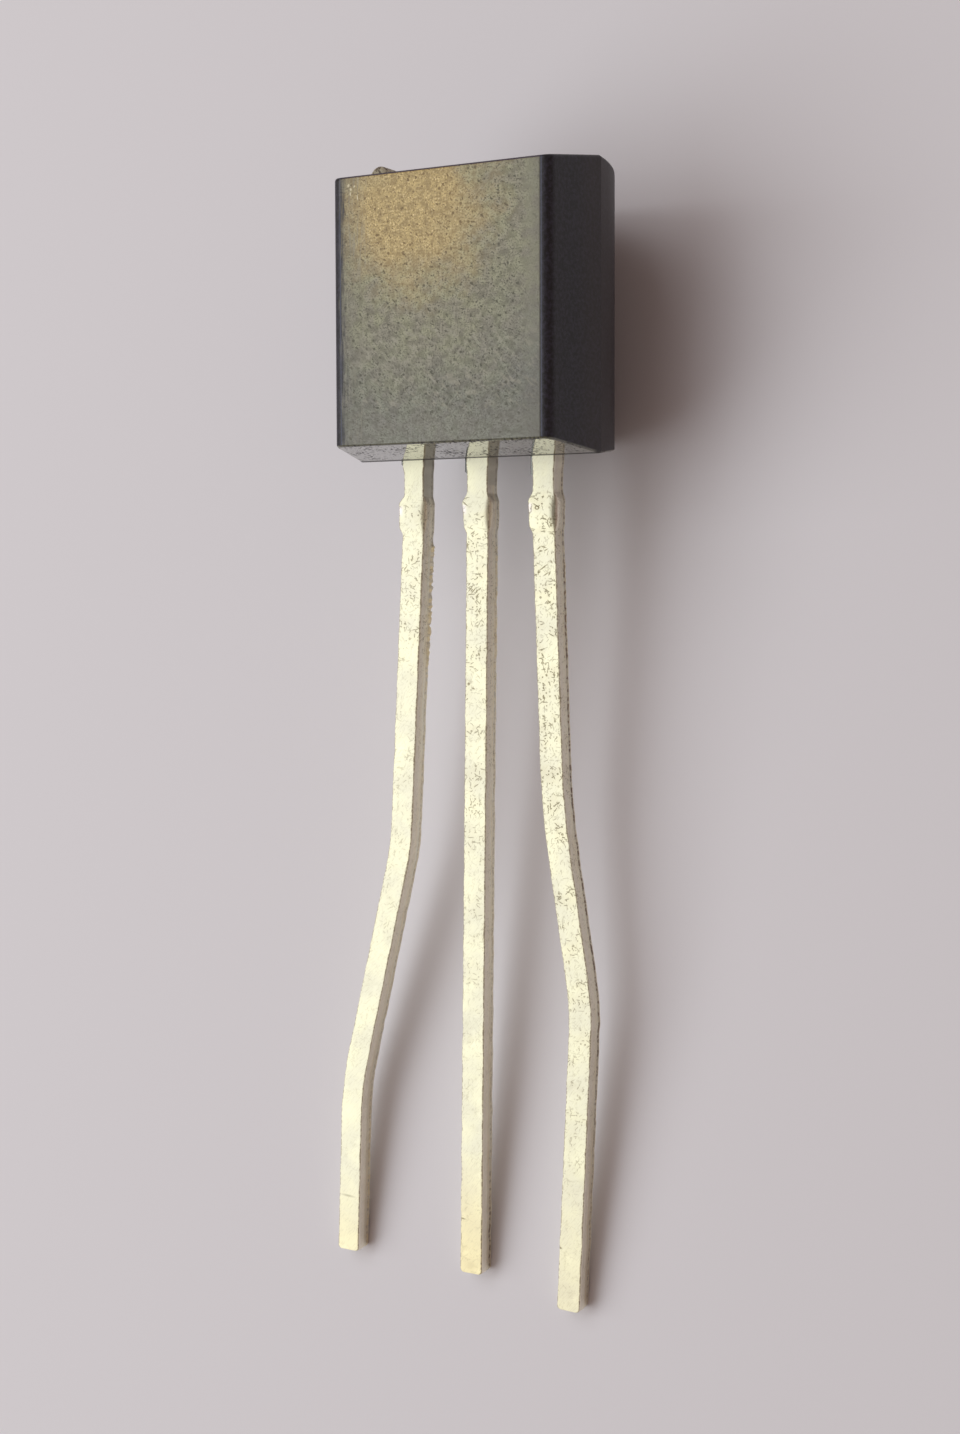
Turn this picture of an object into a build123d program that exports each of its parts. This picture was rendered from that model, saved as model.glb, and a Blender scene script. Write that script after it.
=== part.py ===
from build123d import *
import os
from math import asin, atan2, cos, degrees, hypot, radians, sin, sqrt, tan

# Temperature sensor in the three-lead moulded package with a flat face and a half-round back.
#
# Every piece is drawn upright: X to the right as the flat face is seen, Y from the face towards the
# round back, Z up. The parting plane of the mould is Y = 0, and the leads lie with their front
# surface in it. The lower end of the body, where the leads come out, is Z = 0. The finished pieces
# are then laid down together as the sensor comes to rest on a table: face up, on the lower edge of
# its round back and the tips of its leads. All sizes are in millimetres.

# --- moulded body -------------------------------------------------------------------------------
body_width = 4.70            # across the parting plane
body_height = 4.88           # end to end, at the parting plane
face_depth = 1.30            # from the parting plane to the flat face
side_draft = 12.8            # degrees, flanks of the face half
face_end_draft = 8.0         # degrees, both ends of the face half
back_end_draft = 5.5         # degrees, both ends of the round half
flank_edge_radius = 0.20     # the two long edges of the flat face
end_edge_radius = 0.06       # all round both ends

gate_inset = 0.57            # from the left side of the body to the middle of the moulding gate
gate_width = 0.48
gate_height = 0.18           # stands above the upper end
gate_thickness = 0.52
gate_edge_radius = 0.08

ejector_mark_diameter = 1.20
ejector_mark_depth = 0.09    # from the crown of the round back to the floor of the mark

flash_width = 0.06           # thin web of resin left standing beside each lead
flash_thickness = 0.30
supply_flash = 0.12          # how far each web runs down its lead
output_flash = 0.28
ground_flash = 0.36

# --- stamped lead frame, outside the body -------------------------------------------------------
lead_pitch = 1.27
lead_width = 0.44
lead_thickness = 0.38
lead_edge_radius = 0.03      # the four long edges, rolled by stamping and plating
lead_edge_break = 0.02       # front and back edges of the neck and the stump

neck_relief = 0.02           # taken off each flank by the trim punch, between body and tie bar
neck_start = 0.12            # below the body
neck_end = 0.60
stump_left = 0.08            # left on each flank by the tie bar that joined the three leads
stump_right = 0.04
stump_taper = 0.02           # how much less of it is left at its lower end
stump_start = 0.74
stump_end = 1.18
stump_slope = 0.10           # length of the slope from the stump back to the lead
stump_corner_radius = 0.04
shear_length = 0.72          # scoop rolled into the right-hand front edge where the bar was cut
shear_depth = 0.08

tip_corner_radius = 0.06     # both sides of each cropped tip
tip_heel_radius = 0.10       # back edge of each cropped tip

# Each lead's centre line below its stump: how far sideways from its place in the row, how far below
# the body, and the radius of the set there. The last entry is the tip.
supply_route = ((0, 1.05, 2.0), (-0.309, 6.75, 4.0), (-1.366, 11.15, 6.0), (-1.478, 14.15, 0))
output_route = ((0, 1.05, 2.0), (-0.205, 14.20, 0))
ground_route = ((0, 1.05, 2.0), (0.166, 5.95, 14.0), (0.698, 9.33, 5.0), (0.448, 14.55, 0))

# --- stamped lead frame, inside the body --------------------------------------------------------
post_start = 0.40            # where each lead widens into a post, so that it can't be pulled out
post_shoulder = 0.17         # how far a post stands out past each flank of its lead
supply_post_top = 1.55
output_post_top = 1.30
post_corner_radius = 0.07
pad_clearance = 0.22         # resin between the posts and the chip's pad above them
pad_margin_near = 0.25       # pad left free below and to the left of the die
pad_margin_far = 0.45        # pad left free above and to the right of the die

# --- chip and its wires -------------------------------------------------------------------------
die_width = 1.55
die_height = 1.20
die_thickness = 0.30
attach_margin = 0.06         # adhesive squeezed out round the die
attach_thickness = 0.025

wire_diameter = 0.033
ball_diameter = 0.09
ball_height = 0.025
loop_height = 0.20           # top of a wire's loop above its ball
loop_kink = 0.06             # the wire turns over between this far before and after the top
ball_inset = 0.18            # from the edges of the die to the middle of a ball
stitch_inset = 0.30          # from the top of a post to where its wire lands

# --- worked out from the sizes above ------------------------------------------------------------
back_radius = body_width / 2
stump_middle = (stump_start + stump_end) / 2
post_half_width = lead_width / 2 + post_shoulder
pad_bottom = max(supply_post_top, output_post_top) + pad_clearance
pad_top = pad_bottom + pad_margin_near + die_height + pad_margin_far
pad_right = lead_pitch + post_half_width
pad_left = pad_right - pad_margin_far - die_width - pad_margin_near
die_x = pad_left + pad_margin_near + die_width / 2
die_z = pad_bottom + pad_margin_near + die_height / 2
die_front = -attach_thickness - die_thickness
overrun = 1.0                # how far a cutting or trimming shape reaches past what it cuts


# --- how the sensor lies ------------------------------------------------------------------------
def rest_angle():
    """Degrees between the leads and the table that their tips and the body's back edge touch.

    Both contacts are rounded edges, so in the side view the table is the common tangent of two
    circles: one in the lower edge of the back and one in the heel of the longest lead.
    """
    draft = radians(back_end_draft)
    edge_y = back_radius - end_edge_radius
    edge_z = edge_y * tan(draft) + end_edge_radius / cos(draft)
    rise = edge_y - (lead_thickness - tip_heel_radius)
    run = edge_z + ground_route[-1][1] - tip_heel_radius
    difference = tip_heel_radius - end_edge_radius
    return degrees(atan2(rise, run) - asin(difference / hypot(rise, run)))


def lean(route):
    """Degrees that a shorter lead leans back, so that its tip meets the table with the longest."""
    length = route[-1][1]
    return degrees(atan2((ground_route[-1][1] - length) * tan(radians(rest_angle())), length))


# --- drawing helpers ----------------------------------------------------------------------------
def rectangle(left, right, bottom, top):
    return Pos((left + right) / 2, (bottom + top) / 2) * Rectangle(right - left, top - bottom)


def outline(*points):
    return Polygon(*points, align=None)


def from_the_face(drawing, front, back):
    """Solid of an (x, z) drawing, from Y = front to Y = back."""
    return extrude(Plane.XZ.offset(-front) * drawing, amount=front - back)


def from_the_side(drawing, reach):
    """Solid of a (y, z) drawing, reaching equally far to each side of X = 0."""
    return extrude(Plane.YZ * drawing, amount=reach, both=True)


# --- moulded body -------------------------------------------------------------------------------
def moulding():
    """The plan, a flat face with drafted flanks and a half-round back, crossed with the side view,
    whose two ends slope away from the parting plane both ways."""
    face_half_width = back_radius - face_depth * tan(radians(side_draft))
    left, right = (-back_radius, 0), (back_radius, 0)
    face_left, face_right = (-face_half_width, -face_depth), (face_half_width, -face_depth)
    front = Polyline(left, face_left, face_right, right)
    back = ThreePointArc(right, (0, back_radius), left)
    column = extrude(make_face([front, back]), amount=body_height)

    face_rise = face_depth * tan(radians(face_end_draft))
    back_rise = back_radius * tan(radians(back_end_draft))
    ends = outline(
        (0, 0),
        (back_radius, back_rise),
        (back_radius, body_height - back_rise),
        (0, body_height),
        (-face_depth, body_height - face_rise),
        (-face_depth, face_rise),
    )
    block = column & from_the_side(ends, back_radius)
    block = fillet(block.faces().sort_by(Axis.Y)[0].edges().filter_by(Axis.Z), flank_edge_radius)
    return fillet(end_edges(block), end_edge_radius)


def end_edges(block):
    """Every edge round the two ends, without the parting line that crosses them."""
    rims = [e for e in block.edges() if abs(e.center().Z - body_height / 2) > 0.4 * body_height]
    return [e for e in rims if hypot(e.center().X, e.center().Y) > end_edge_radius]


def gate_stub():
    """What is left of the resin gate, snapped off where it fed the mould at the parting plane."""
    root = body_height - gate_height
    crown = Ellipse(gate_width / 2, 2 * gate_height)
    arch = Pos(gate_inset - back_radius, root) * (crown & rectangle(-gate_width, gate_width, 0, overrun))
    stub = from_the_face(arch, -gate_thickness / 2, gate_thickness / 2)
    return fillet(stub.edges().filter_by(GeomType.ELLIPSE), gate_edge_radius)


def ejector_mark():
    """Round flat that the ejector pin leaves in the middle of the back, as the block it removes."""
    mark = Pos(0, body_height / 2) * Circle(ejector_mark_diameter / 2)
    return from_the_face(mark, back_radius - ejector_mark_depth, back_radius + overrun)


def flash_web(x, length):
    """Web of resin down the left flank of a lead, running out on the lead at its lower end."""
    flank = x - lead_width / 2
    web = outline(
        (flank - flash_width, post_start),
        (flank - flash_width, flash_width - length),
        (flank, -length),
        (x, -length),
        (x, post_start),
    )
    return from_the_face(web, lead_thickness - flash_thickness, lead_thickness)


def moulded_body(inserts):
    """The resin, moulded round every insert, so that it fits each of them without a gap."""
    body = moulding() - ejector_mark() + gate_stub()
    body += flash_web(-lead_pitch, supply_flash)
    body += flash_web(0, output_flash)
    body += flash_web(lead_pitch, ground_flash)
    return body - inserts


# --- leads --------------------------------------------------------------------------------------
def root_flank(stump):
    """One flank of a lead's stamped part as (distance from its middle, z), from the top down. It
    ends inside the strip below."""
    lead_half = lead_width / 2
    neck_half = lead_half - neck_relief
    return (
        (lead_half, post_start + post_shoulder),
        (lead_half, -neck_start),
        (neck_half, -neck_start - stump_slope),
        (neck_half, -neck_end),
        (lead_half + stump, -stump_start),
        (lead_half + stump - stump_taper, -stump_end),
        (lead_half - stump_left, -stump_end - 2 * stump_slope),
    )


def root(x):
    """The stamped part that shows: from inside the body to the neck and the stump of the tie bar."""
    left = [(x - half, z) for half, z in root_flank(stump_left)]
    right = [(x + half, z) for half, z in reversed(root_flank(stump_right))]
    drawing = outline(*left, *right)
    drawing = fillet([v for v in drawing.vertices() if -stump_end <= v.Y < 0], stump_corner_radius)
    blank = from_the_face(drawing, 0, lead_thickness)
    flats = blank.faces().sort_by(Axis.Y)
    return chamfer(flats[0].edges() + flats[-1].edges(), lead_edge_break)


def inner_end(drawing):
    """The stamped part that the resin holds, with the corners of its drawing rounded."""
    rounded = fillet(drawing.vertices(), min(post_corner_radius, 0.45 * post_shoulder))
    return from_the_face(rounded, 0, lead_thickness)


def run(x, route):
    """The rest of a lead: a strip with rolled edges, swept from inside the stump to the tip."""
    middle = lead_thickness / 2
    points = [(x, middle, -stump_start)] + [(x + aside, middle, -below) for aside, below, radius in route]
    path = FilletPolyline(*points, radius=[radius for aside, below, radius in route[:-1]])
    section = RectangleRounded(lead_width, lead_thickness, lead_edge_radius)
    return sweep(Plane(path @ 0, x_dir=(1, 0, 0), z_dir=path % 0) * section, path=path)


def shear_roller(x):
    """What the tie bar's shear rolls off the right-hand front edge of a stump: a long shallow scoop."""
    radius = (shear_length**2 / 4 + shear_depth**2) / (2 * shear_depth)
    away = (radius - shear_depth) / sqrt(2)
    edge_x = x + lead_width / 2 + stump_right
    return Pos(edge_x + away, -away, -stump_middle) * Rot(Z=-45) * Rot(X=90) * Cylinder(radius, overrun)


def rounding(radius):
    """Drawing of what rounds a corner at the origin, with the material to its left and above it."""
    return rectangle(-radius, overrun, -overrun, radius) - Pos(-radius, radius) * Circle(radius)


def tip_crop(x, route):
    """What the cropping blade rounds off a tip, at both sides and at the back."""
    (start_x, start_below, radius), (tip_x, tip_below, end_radius) = route[-2:]
    slant = degrees(atan2(tip_x - start_x, tip_below - start_below))
    corner = Pos(lead_width / 2, 0) * rounding(tip_corner_radius)
    side = from_the_face(corner, -overrun, lead_thickness + overrun)
    heel = from_the_side(Pos(lead_thickness, 0) * rounding(tip_heel_radius), overrun)
    return Pos(x + tip_x, 0, -tip_below) * Rot(Y=-slant) * (side + mirror(side, Plane.YZ) + heel)


def lead(x, route, inner_drawing):
    """A whole lead, leaning back a fraction of a degree if it isn't the longest."""
    strip = inner_end(inner_drawing) + root(x) + run(x, route)
    return Rot(X=lean(route)) * (strip - shear_roller(x) - tip_crop(x, route))


def post_outline(x, top):
    return rectangle(x - post_half_width, x + post_half_width, post_start, top)


def pad_outline():
    """The ground lead's post, widening towards the middle of the body into the pad for the chip."""
    return post_outline(lead_pitch, pad_top) + rectangle(pad_left, pad_right, pad_bottom, pad_top)


# --- chip and its wires -------------------------------------------------------------------------
def silicon_die():
    return from_the_face(Pos(die_x, die_z) * Rectangle(die_width, die_height), die_front, -attach_thickness)


def die_attach():
    spread = Rectangle(die_width + 2 * attach_margin, die_height + 2 * attach_margin)
    spread = fillet(spread.vertices(), attach_margin)
    return from_the_face(Pos(die_x, die_z) * spread, -attach_thickness, 0)


def bond_wire(ball_x, landing_x, landing_z, landed_on):
    """Gold wire from its ball on the die, over a loop, to a flush end on the front of a lead."""
    on_die = Plane((ball_x, die_front, die_z - die_height / 2 + ball_inset), z_dir=(0, -1, 0))
    ball = on_die * Cylinder(ball_diameter / 2, ball_height, align=(Align.CENTER, Align.CENTER, Align.MIN))
    top = on_die.offset(ball_height + loop_height).origin
    kink = on_die.offset(ball_height + loop_height - loop_kink).origin
    fall = Vector(landing_x, 0, landing_z) - top
    path = Polyline(on_die.origin, kink, top + fall * (loop_kink / fall.length), top + 1.1 * fall)
    wire = sweep(on_die * Circle(wire_diameter / 2), path=path, transition=Transition.RIGHT)
    return wire + ball - landed_on


# --- the whole sensor ---------------------------------------------------------------------------
def pieces():
    """Every piece by name, drawn upright."""
    supply = lead(-lead_pitch, supply_route, post_outline(-lead_pitch, supply_post_top))
    output = lead(0, output_route, post_outline(0, output_post_top))
    ground = lead(lead_pitch, ground_route, pad_outline())
    first_ball = die_x - die_width / 2 + ball_inset
    last_ball = die_x + die_width / 2 - ball_inset
    supply_landing = supply_post_top - stitch_inset
    output_landing = output_post_top - stitch_inset
    inserts = {
        "lead_supply": supply,
        "lead_output": output,
        "lead_ground": ground,
        "silicon_die": silicon_die(),
        "die_attach": die_attach(),
        "bond_wire_supply": bond_wire(first_ball, -lead_pitch, supply_landing, supply),
        "bond_wire_output": bond_wire(die_x, 0, output_landing, output),
        "bond_wire_ground": bond_wire(last_ball, lead_pitch, supply_landing, ground),
    }
    return {"moulded_body": moulded_body(list(inserts.values()))} | inserts


def laid_down(upright):
    """The pieces as they lie on the table, with the origin under the middle of their bounding box."""
    lying = {name: Rot(X=rest_angle() - 90) * piece for name, piece in upright.items()}
    box = Compound(list(lying.values())).bounding_box()
    origin = Pos(box.center().X, box.center().Y, box.min.Z)
    return {name: origin.inverse() * piece for name, piece in lying.items()}


if __name__ == "__main__":
    os.makedirs("parts", exist_ok=True)
    for name, piece in laid_down(pieces()).items():
        piece.label = name
        export_step(piece, f"parts/{name}.step")
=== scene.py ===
from math import cos, pi, radians, sin

import bpy
import numpy as np
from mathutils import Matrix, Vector


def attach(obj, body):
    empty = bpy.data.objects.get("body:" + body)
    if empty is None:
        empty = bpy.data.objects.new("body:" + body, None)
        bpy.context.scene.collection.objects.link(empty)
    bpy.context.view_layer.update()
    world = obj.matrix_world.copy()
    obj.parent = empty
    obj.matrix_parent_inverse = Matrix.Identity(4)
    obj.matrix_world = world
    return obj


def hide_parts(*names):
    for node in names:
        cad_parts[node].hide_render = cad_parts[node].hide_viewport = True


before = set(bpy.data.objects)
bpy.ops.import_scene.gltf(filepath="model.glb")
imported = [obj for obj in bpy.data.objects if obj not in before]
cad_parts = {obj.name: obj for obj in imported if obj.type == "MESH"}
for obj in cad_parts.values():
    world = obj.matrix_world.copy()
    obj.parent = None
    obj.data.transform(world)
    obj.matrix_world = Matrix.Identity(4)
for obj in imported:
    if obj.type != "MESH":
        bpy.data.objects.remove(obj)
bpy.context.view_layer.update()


# --- leads --------------------------------------------------------------------------------------
# Three legs stamped from one strip of copper alloy, 0.44 by 0.38 mm, and tinned afterwards. Each has
# a neck, the sheared stump of the bar that tied them together, and a cropped tip, and widens into a
# post in the resin. They are drawn upright in millimetres, as if the body stood on them, and laid down.
rest_angle = radians(7.6158)              # between the leads and the table
upright_origin = (-0.30783, -4.69469, -2.29385)

lead_pitch = 1.27
lead_half_width = 0.22
lead_thickness = 0.38
lead_corner = 0.03
tip_corner = 0.06
tip_heel = 0.10
post_half_width = 0.39
post_start = -0.40                        # all lengths along a lead count from where it leaves the resin
longest_lead = 14.55
sheared_part = 0.62                       # how much of a flank's depth is shorn: the rest is torn
torn_depth = 0.012
dent_count = 110
row_step = 0.02
row_step_in_resin = 0.045
cap_rings = (0.94, 0.5)                   # how far each ring of a lead's end is drawn in

# Where each lead is set sideways: distance aside, distance below the body, radius of the set.
supply_route = ((0, 1.05, 2.0), (-0.309, 6.75, 4.0), (-1.366, 11.15, 6.0), (-1.478, 14.15, 0))
output_route = ((0, 1.05, 2.0), (-0.205, 14.20, 0))
ground_route = ((0, 1.05, 2.0), (0.166, 5.95, 14.0), (0.698, 9.33, 5.0), (0.448, 14.55, 0))


def laid_down(x, y, z):
    """Metres in the lying frame from millimetres drawn upright, where X is to the right, Y into the
    body from its face and Z up: along = y sin a + z cos a and up = z sin a - y cos a, then shifted."""
    along = y * sin(rest_angle) + z * cos(rest_angle)
    up = z * sin(rest_angle) - y * cos(rest_angle)
    placed = [value - shift for value, shift in zip((x, along, up), upright_origin)]
    return np.stack(np.broadcast_arrays(*placed), axis=-1) / 1000


def centre_line(top, route):
    """A lead's middle as (length, aside, below, heading). The heading is constant on each straight
    run and turns evenly along each set, an arc of length R * turn that takes R tan(turn / 2) off the
    runs beside it. Aside and below are the running sums of its sine and cosine."""
    corners = np.array([(0.0, top, 0.0), *route])
    runs = np.diff(corners[:, :2], axis=0)
    headings = np.arctan2(runs[:, 0], runs[:, 1])
    turns = np.abs(np.diff(headings))
    radii = corners[1:-1, 2]
    taken = np.concatenate([[0], radii * np.tan(turns / 2), [0]])
    straights = np.hypot(runs[:, 0], runs[:, 1]) - taken[:-1] - taken[1:]
    arcs = np.append(radii * turns, 0)
    ends = np.cumsum(np.stack([straights, arcs], axis=1).ravel())
    length = np.linspace(0, ends[-1], 4000)
    heading = np.interp(length, np.append(0, ends[:-1]), np.repeat(headings, 2))
    middle = (heading[1:] + heading[:-1]) / 2
    aside = np.append(0, np.cumsum(np.sin(middle))) * length[1]
    below = top + np.append(0, np.cumsum(np.cos(middle))) * length[1]
    return length + top, aside, below, heading


def strip_section():
    """Once round a strip, from the middle of its back past its left flank: how far across (0 left to
    1 right), how far through (0 front to 1 back), which way is out, and the distance round the
    nominal section from the middle of the front. Points crowd towards the corners."""
    flat = (1 - np.cos(np.linspace(0, pi, 17))) / 2
    edge = (1 - np.cos(np.linspace(0, pi, 11))) / 2
    half = np.linspace(0, 1, 6)
    turn = np.linspace(0, pi / 2, 6)[1:-1]
    one, none = np.ones_like, np.zeros_like
    parts = [
        (0.5 - 0.5 * half, one(half), none(half), one(half)),
        (none(turn), one(turn), -np.sin(turn), np.cos(turn)),
        (none(edge), 1 - edge, -one(edge), none(edge)),
        (none(turn), none(turn), -np.cos(turn), -np.sin(turn)),
        (flat, none(flat), none(flat), -one(flat)),
        (one(turn), none(turn), np.sin(turn), -np.cos(turn)),
        (one(edge), edge, one(edge), none(edge)),
        (one(turn), one(turn), np.cos(turn), np.sin(turn)),
        (1 - 0.5 * half, one(half), none(half), one(half)),
    ]
    across, through, out_x, out_y = np.concatenate(parts, axis=1)
    x = (2 * across - 1) * (lead_half_width - lead_corner) + lead_corner * out_x
    y = through * (lead_thickness - 2 * lead_corner) + lead_corner * out_y
    gone = np.append(0, np.cumsum(np.hypot(np.diff(x), np.diff(y))))
    return across, through, out_x, out_y, gone - gone[-1] / 2


def clear_of_resin(length):
    """0 inside the resin, rising evenly to 1 from 0.1 to 0.7 mm below it."""
    return np.clip((length - 0.1) / 0.6, 0, 1)


def ripple(length, seed, shortest, longest, height):
    """A side's unevenness: a sum of 14 sines of random wavelength and phase, kept from standing out
    beyond the nominal side, and fading in below the resin."""
    random = np.random.default_rng(seed)
    waves = random.uniform(shortest, longest, 14)
    phases = random.uniform(0, 2 * pi, 14)
    total = np.sin(2 * pi * length[:, None] / waves + phases).sum(axis=1) / 14**0.5
    return height * (np.minimum(total, 1) - 1) * clear_of_resin(length)


def rounded_off(length, end, radius):
    """How far a quarter circle of that radius takes a side in, up to the end of the lead."""
    into = np.clip(length - (end - radius), 0, radius)
    return radius - np.sqrt(radius**2 - into**2)


def lead_surface(
    name, number, route, left_stations, right_stations, shear_depth, burr_stations, wear, seed
):
    """A lead's skin: the section carried along the centre line, its flanks at the stamped distances,
    dented at random, torn and burred at the back, sheared at the stump, rounded at the tip and closed
    at both ends."""
    top = left_stations[0][0]
    fine = centre_line(top, route)
    end = fine[0][-1]
    inside = np.arange(top, -0.06, row_step_in_resin)
    outside = np.arange(-0.04, end - 0.13, row_step)
    tip = end - 0.12 * (1 - np.sin(np.linspace(0, pi / 2, 12)))
    length = np.concatenate([inside, outside, tip])
    aside, below, heading = (np.interp(length, fine[0], values) for values in fine[1:])

    def flank(stations, seed):
        reach = np.interp(fine[0], *np.array(stations).T)
        smooth = np.convolve(np.pad(reach, 7, mode="edge"), np.ones(15) / 15, mode="valid")
        rolled = ripple(length, seed, 0.09, 1.3, 0.0030) - rounded_off(length, end, tip_corner)
        return np.interp(length, fine[0], smooth) + rolled

    left, right = flank(left_stations, seed), flank(right_stations, seed + 1)
    back = lead_thickness - rounded_off(length, end, tip_heel) + ripple(length, seed + 2, 0.2, 2.0, 0.003)
    corner = lead_corner + ripple(length, seed + 3, 0.1, 1.5, 0.005)

    across, through, out_x, out_y, around = strip_section()
    at = np.s_[:, None]
    x_in = (1 - across) * (corner - left)[at] + across * (right - corner)[at] + corner[at] * out_x
    y_in = corner[at] + through * (back - 2 * corner)[at] + corner[at] * out_y

    # Small round dents: each is a bell-shaped dip towards the inside of the strip.
    random = np.random.default_rng(seed + 4)
    dent_at = random.uniform(1.2, end, dent_count)
    dent_round = random.uniform(around[0], around[-1], dent_count)
    dent_size = random.uniform(0.015, 0.05, dent_count)
    dent_depth = dent_size * random.uniform(0.05, 0.16, dent_count)
    away = (length[:, None, None] - dent_at) ** 2 + (around[:, None] - dent_round) ** 2
    dent = (dent_depth * np.exp(-away / (2 * dent_size**2))).sum(axis=2)
    x_in, y_in = x_in - dent * out_x, y_in - dent * out_y

    # The torn part of a flank stands back a little and is rougher.
    rough = ripple(length, seed + 5, 0.05, 0.6, 0.003)[at] * (through > sheared_part)
    torn = np.clip((through - sheared_part) / 0.06, 0, 1) * torn_depth - rough
    x_in = x_in - torn * out_x * clear_of_resin(length)[at]

    # A ragged burr of bare copper stands out at the back of the right flank.
    burr = np.interp(length, *np.array(burr_stations).T) * (1 + ripple(length, seed + 6, 0.05, 0.30, 0.35))
    x_in = x_in + burr[at] * np.clip((through - 0.78) / 0.12, 0, 1) * np.clip(out_x, 0, 1)

    # The shear rolls off the right-hand front edge: nothing stands beyond a wide cylinder at 45 degrees,
    # and the metal bends into it softly.
    shear_middle, shear_half, softness = 0.96, 0.42, 0.02
    scoop = np.maximum(shear_depth * (1 - ((length - shear_middle) / shear_half) ** 2), 0)
    edge = np.interp(shear_middle, length, right)
    beyond = (x_in - edge - y_in) / 2**0.5 + scoop[at]
    pushed = (beyond + np.sqrt(beyond**2 + softness**2)) / 2 * np.clip(scoop / 0.02, 0, 1)[at] / 2**0.5
    x_in, y_in = x_in - pushed, y_in + pushed

    # Caps: the end section drawn in towards its middle, in rings round a flat middle.
    def cap(row, shrink):
        middle_x, middle_y = x_in[row].mean(), y_in[row].mean()
        shrink = np.array(shrink)[at]
        return middle_x + (x_in[row] - middle_x) * shrink, middle_y + (y_in[row] - middle_y) * shrink

    first, last = cap(0, cap_rings[::-1]), cap(-1, cap_rings)
    x_in, y_in = (np.concatenate(pieces) for pieces in zip(first, (x_in, y_in), last))
    by_row = (aside, below, heading, length)
    aside, below, heading, length = (np.pad(values, len(cap_rings), mode="edge") for values in by_row)

    # Each lead leans so that its own tip reaches the table.
    lean = np.arctan((longest_lead - route[-1][1]) * np.tan(rest_angle) / route[-1][1])
    sideways = (number - 1) * lead_pitch + aside[at] + x_in * np.cos(heading)[at]
    downwards = below[at] - x_in * np.sin(heading)[at]
    points = laid_down(
        sideways,
        y_in * cos(lean) + downwards * sin(lean),
        y_in * sin(lean) - downwards * cos(lean),
    )
    layers = {layer: np.interp(length, *np.array(stations).T) for layer, stations in wear.items()}
    along = length[at] + 20 * number
    on_sides = np.stack(np.broadcast_arrays(around, along), axis=-1)

    # The ends take their finish from the plain middle of the left flank, where no line runs.
    flank_middle, cap_scale = -0.37, 0.35
    on_caps = np.stack([flank_middle + cap_scale * x_in, along + y_in], axis=-1)
    return lattice(name, points[:, :-1], on_sides, on_caps, layers)


def lattice(name, points, on_sides, on_caps, layers):
    """A closed tube through rows of points: quads, and one flat face in the middle of each end. It has
    one UV map, laid out one way on its sides and another way on its ends, and one value a row in each
    of the layers."""
    rows, columns = points.shape[:2]
    row, column = np.mgrid[: rows - 1, :columns]
    corner_rows = np.stack([row, row + 1, row + 1, row], axis=-1).reshape(-1, 4)
    corner_columns = np.stack([column, column, column + 1, column + 1], axis=-1).reshape(-1, 4)
    quads = corner_rows * columns + corner_columns % columns
    ring = np.arange(columns)
    ends = [ring.tolist(), (rows * columns - 1 - ring).tolist()]
    mesh = bpy.data.meshes.new(name)
    mesh.from_pydata(points.reshape(-1, 3).tolist(), [], quads.tolist() + ends)
    capped = (np.minimum(row, rows - 2 - row) < len(cap_rings)).reshape(-1, 1, 1)
    uv = np.where(capped, on_caps[corner_rows, corner_columns], on_sides[corner_rows, corner_columns])
    uv = np.concatenate([uv.reshape(-1, 2), on_caps[0, :columns], on_caps[-1, columns - 1 :: -1]])
    mesh.uv_layers.new(name="strip").data.foreach_set("uv", uv.astype(np.float32).ravel())
    for layer, values in layers.items():
        attribute = mesh.attributes.new(layer, "FLOAT", "POINT")
        attribute.data.foreach_set("value", np.repeat(values, columns).astype(np.float32))
    mesh.shade_smooth()
    piece = bpy.data.objects.new(name, mesh)
    bpy.context.scene.collection.objects.link(piece)
    return piece


def root_stations(held, relief, stump, taper):
    """One flank of a lead as (length, distance from its middle): what the resin holds, then the neck
    and the stump."""
    neck = lead_half_width - relief
    return (
        *held,
        (post_start, post_half_width),
        (post_start + 0.03, lead_half_width),
        (0.12, lead_half_width),
        (0.22, neck),
        (0.60, neck),
        (0.74, lead_half_width + stump),
        (1.18, lead_half_width + stump - taper),
        (1.28, lead_half_width),
    )


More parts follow.
